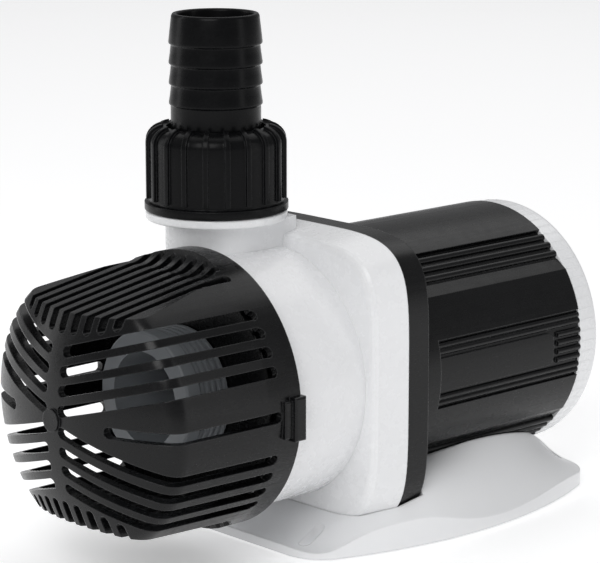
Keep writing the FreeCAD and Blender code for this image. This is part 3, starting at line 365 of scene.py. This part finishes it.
class PUMP_OT_finish_inside(bpy.types.Operator):
    """Gives the rotor, stator, board, seals, screws and feet their own finishes"""
    bl_idname = "pump.finish_inside"
    bl_label = "Finish Inner Parts"

    def execute(self, context):
        rubber = moulded("Black rubber", (0.022, 0.022, 0.023), 0.72, 0.0002, grain=1500.0, relief=0.00003)
        dress(rubber, "union_gasket", "casing_seal", "rear_cap_seal", "gland_seal", "front_shaft_cup",
              "rear_shaft_cup")
        dress(moulded("Grey foot rubber", (0.11, 0.11, 0.112), 0.78, 0.0003, grain=1500.0, relief=0.00003),
              "foot_strips")
        dress(banded("Turned stainless steel", (0.52, 0.52, 0.53), (0.62, 0.62, 0.63), "DIAGONAL",
                     900.0, 0.28, metallic=1.0, relief=0.000004),
              "casing_screws", "board_screws", "rear_cap_screws", "base_screws")
        dress(banded("Steel laminations", (0.20, 0.205, 0.21), (0.36, 0.36, 0.37), "Y", 320.0, 0.42,
                     metallic=0.8), "stator_core")
        dress(banded("Enamelled copper wire", (0.42, 0.14, 0.04), (0.72, 0.32, 0.12), "X", 260.0, 0.3,
                     metallic=0.85, relief=0.0001), "stator_coils")
        dress(banded("Circuit board", (0.012, 0.14, 0.055), (0.03, 0.24, 0.10), "X", 90.0, 0.32,
                     relief=0.00002), "driver_board")
        dress(moulded("Board parts", (0.02, 0.02, 0.022), 0.4, 0.0002, relief=0.00001), "board_parts")
        dress(moulded("Polished ceramic", (0.82, 0.81, 0.76), 0.16, 0.0002, relief=0.000003, coat=0.4,
                      blotch=0.02), "shaft", "thrust_washers")
        dress(moulded("Grey impeller plastic", (0.13, 0.137, 0.145), 0.42, 0.0003, 0.2,
                      worn=(0.3, 0.31, 0.32)), "impeller")
        dress(moulded("Sealed magnet", (0.07, 0.07, 0.078), 0.3, 0.0003, relief=0.00002, streak=0.05),
              "rotor_magnet")
        dress(moulded("Bush plastic", (0.03, 0.03, 0.032), 0.35, 0.0002), "rotor_bushes")
        return {"FINISHED"}


class PUMP_OT_build_union_nut(bpy.types.Operator):
    """Builds the ribbed union nut over the outlet"""
    bl_idname = "pump.build_union_nut"
    bl_label = "Build Union Nut"

    def execute(self, context):
        s = context.scene.pump_union
        z0, z1, ledge = NUT_FOOT, NUT_TOP, NUT_LEDGE
        r, bore, mouth = s.nut_radius, NUT_BORE, NUT_MOUTH
        shoulder = [(r - 6.6 * MM * (1 - math.cos(t)), z1 - 5.6 * MM * (1 - math.sin(t)))
                    for t in (math.radians(a) for a in range(0, 91, 10))]
        stations = [(bore, z0), (NUT_FOOT_R, z0), (NUT_FOOT_R, z0 + 2.9 * MM), (r, z0 + 3.3 * MM),
                    (r, z0 + 4.3 * MM), (r, z0 + 12 * MM), (r, z0 + 20 * MM)]
        stations += shoulder + [(mouth, z1), (mouth, ledge), (bore, ledge), (bore, z0)]
        sides = s.nut_ribs * 8
        step = 2 * math.pi / s.nut_ribs
        start = RIB_TURN
        piece = turned_piece("union_nut_ribbed", stations, sides, start)

        def on_rib(centre, normal):
            x, y = centre.x - OUT_X, centre.y - OUT_Y
            off = (math.atan2(y, x) - start + step / 2) % step - step / 2
            reach = math.hypot(x, y)
            outside = normal.x * x + normal.y * y > -1e-6 * reach or normal.z > 0.5
            return (abs(off) < step / 8 and z0 + RIB_START < centre.z and reach > mouth + RIB_CLEAR
                    and outside and (reach > bore + 0.2 * MM or centre.z > z1 - 2.2 * MM))
        pick_faces(piece, on_rib)
        bpy.ops.mesh.extrude_region_shrink_fatten(
            TRANSFORM_OT_shrink_fatten={"value": s.rib_height})
        bpy.ops.object.mode_set(mode="OBJECT")
        add_modifier("BEVEL", width=0.42 * MM, segments=3, limit_method="ANGLE",
                     angle_limit=math.radians(28), use_clamp_overlap=True)
        finish_piece(piece, "nut", union_black(context.scene.pump_finish))
        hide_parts("union_nut")
        return {"FINISHED"}


class PUMP_OT_build_hose_tail(bpy.types.Operator):
    """Builds the barbed hose tail that stands in the union nut"""
    bl_idname = "pump.build_hose_tail"
    bl_label = "Build Hose Tail"

    def execute(self, context):
        s = context.scene.pump_union
        bore, tail, barb = TAIL_BORE, s.tail_radius, s.barb_radius
        flange, top = TAIL_FLANGE, TAIL_TOP
        stations = [(bore, flange), (TAIL_FLANGE_R, flange), (TAIL_FLANGE_R, flange + TAIL_FLANGE_T),
                    (tail + 0.2 * MM, flange + TAIL_FLANGE_T)]
        for i in range(BARBS):
            crest = FIRST_BARB + BARB_PITCH * i
            stations += [(tail + (0.2 * MM if i == 0 else 0), crest - 0.55 * MM), (barb, crest - 0.1 * MM),
                         (barb, crest + 0.7 * MM)]
            if i < BARBS - 1:
                stations += [(tail + 0.35 * MM, crest + 3.6 * MM),
                             (tail, crest + BARB_PITCH - 0.8 * MM)]
        stations += [(tail - 0.25 * MM, top - 0.9 * MM), (tail - 0.75 * MM, top), (bore + 0.5 * MM, top),
                     (bore, top - 0.6 * MM), (bore, flange)]
        piece = turned_piece("hose_tail_barbed", stations, 144)
        bpy.ops.object.mode_set(mode="OBJECT")
        add_modifier("BEVEL", width=0.22 * MM, segments=2, limit_method="ANGLE",
                     angle_limit=math.radians(20), use_clamp_overlap=True)
        finish_piece(piece, "tail", union_black(context.scene.pump_finish))
        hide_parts("hose_tail")
        return {"FINISHED"}


class PUMP_OT_build_outlet_thread(bpy.types.Operator):
    """Winds the thread round the outlet stub, under the union nut"""
    bl_idname = "pump.build_outlet_thread"
    bl_label = "Build Outlet Thread"

    def execute(self, context):
        s = context.scene.pump_union
        bpy.ops.object.select_all(action="DESELECT")
        bpy.ops.mesh.primitive_circle_add(vertices=6, radius=0.36 * MM,
                                          location=(THREAD_R, 0, THREAD_FOOT),
                                          rotation=(math.pi / 2, 0, 0))
        piece = bpy.context.object
        piece.name = piece.data.name = "outlet_thread"
        bpy.ops.object.transform_apply(location=True, rotation=True, scale=True)
        add_modifier("SCREW", angle=2 * math.pi, screw_offset=s.thread_pitch, iterations=THREAD_TURNS,
                     steps=72, render_steps=72, axis="Z")
        bpy.ops.object.mode_set(mode="EDIT")
        bpy.ops.mesh.select_all(action="DESELECT")
        bpy.ops.mesh.select_mode(type="EDGE")
        bpy.ops.mesh.select_non_manifold()
        bpy.ops.mesh.edge_face_add()
        bpy.ops.mesh.select_all(action="SELECT")
        bpy.ops.transform.translate(value=(OUT_X, OUT_Y, 0))
        bpy.ops.mesh.normals_make_consistent(inside=False)
        bpy.ops.object.mode_set(mode="OBJECT")
        finish_piece(piece, "pump_body", bpy.data.materials["White moulded plastic"])
        return {"FINISHED"}


class PUMP_OT_build_stage(bpy.types.Operator):
    """Lays the pale floor, hangs the soft lights and sets the camera"""
    bl_idname = "pump.build_stage"
    bl_label = "Build Studio"

    def execute(self, context):
        s = context.scene.pump_stage
        bpy.ops.object.select_all(action="DESELECT")
        bpy.ops.mesh.primitive_plane_add(size=14.0, location=(0, 0, 0))
        floor = bpy.context.object
        floor.name = floor.data.name = "studio_floor"
        material = bpy.data.materials.new("Pale floor")
        material.use_nodes = True
        tree = material.node_tree
        shader = tree.nodes["Principled BSDF"]
        coords = put(tree, "ShaderNodeTexCoord").outputs["Object"]
        cloud = put(tree, "ShaderNodeTexNoise", {"Vector": coords, "Scale": 3.0}).outputs["Fac"]
        mottle = spread(tree, cloud, 0.3, 0.7, 0, 1)
        tree.links.new(mix_colour(tree, mottle, shade(s.floor, 0.995), s.floor),
                       shader.inputs["Base Color"])
        shader.inputs["Roughness"].default_value = 0.55
        shader.inputs["Specular IOR Level"].default_value = 0.25
        shader.inputs["Emission Color"].default_value = (*s.floor, 1.0)
        shader.inputs["Emission Strength"].default_value = s.floor_glow
        floor.data.materials.append(material)

        world = bpy.data.worlds.new("Studio") if not context.scene.world else context.scene.world
        context.scene.world = world
        world.use_nodes = True
        sky = world.node_tree.nodes["Background"]
        sky.inputs["Color"].default_value = (0.98, 0.985, 1.0, 1.0)
        sky.inputs["Strength"].default_value = s.sky

        lamps = (("key_softbox", (0.55, -1.0, 0.95), (0.8, 0.8), s.key_power),
                 ("top_softbox", (-0.6, 0.7, 2.4), (3.2, 3.2), s.top_power),
                 ("right_strip", (1.0, 0.5, 0.4), (0.25, 0.9), s.fill_power * 0.8),
                 ("left_strip", (-0.8, -0.55, 0.4), (0.25, 0.9), s.fill_power))
        for name, place, size, power in lamps:
            bpy.ops.object.light_add(type="AREA", location=place)
            lamp = bpy.context.object
            lamp.name = name
            lamp.data.shape = "RECTANGLE"
            lamp.data.size, lamp.data.size_y = size
            lamp.data.energy = power
            aim(lamp, CENTRE)

        bpy.ops.object.camera_add(location=CAMERA_AT)
        camera = bpy.context.object
        camera.name = "camera"
        camera.data.lens = CAMERA_LENS
        camera.data.sensor_width = CAMERA_SENSOR
        camera.data.sensor_fit = "HORIZONTAL"
        aim(camera, CAMERA_AT + CAMERA_LOOKS)
        context.scene.camera = camera
        context.scene.view_settings.view_transform = "Standard"
        context.scene.view_settings.look = "None"
        return {"FINISHED"}


def aim(thing, target):
    thing.rotation_euler = (Vector(target) - thing.location).to_track_quat("-Z", "Y").to_euler()


class PUMP_PT_panel(bpy.types.Panel):
    bl_idname = "PUMP_PT_panel"
    bl_label = "Circulation Pump"
    bl_space_type = "VIEW_3D"
    bl_region_type = "UI"
    bl_category = "Pump"

    def draw(self, context):
        for settings in (context.scene.pump_finish, context.scene.pump_union, context.scene.pump_stage):
            box = self.layout.box()
            for key in settings.bl_rna.properties.keys():
                if key not in ("rna_type", "name"):
                    box.prop(settings, key)
        for operator in STEPS:
            self.layout.operator(operator.bl_idname)


STEPS = (PUMP_OT_finish_white, PUMP_OT_finish_black, PUMP_OT_finish_inside, PUMP_OT_build_union_nut,
         PUMP_OT_build_hose_tail, PUMP_OT_build_outlet_thread, PUMP_OT_build_stage)
CLASSES = (PumpFinishSettings, PumpUnionSettings, PumpStageSettings, *STEPS, PUMP_PT_panel)


def register():
    for cls in CLASSES:
        bpy.utils.register_class(cls)
    bpy.types.Scene.pump_finish = bpy.props.PointerProperty(type=PumpFinishSettings)
    bpy.types.Scene.pump_union = bpy.props.PointerProperty(type=PumpUnionSettings)
    bpy.types.Scene.pump_stage = bpy.props.PointerProperty(type=PumpStageSettings)


def unregister():
    del bpy.types.Scene.pump_finish, bpy.types.Scene.pump_union, bpy.types.Scene.pump_stage
    for cls in reversed(CLASSES):
        bpy.utils.unregister_class(cls)


def main():
    register()
    for operator in STEPS:
        group, name = operator.bl_idname.split(".")
        getattr(getattr(bpy.ops, group), name)()


if __name__ == "__main__":
    main()
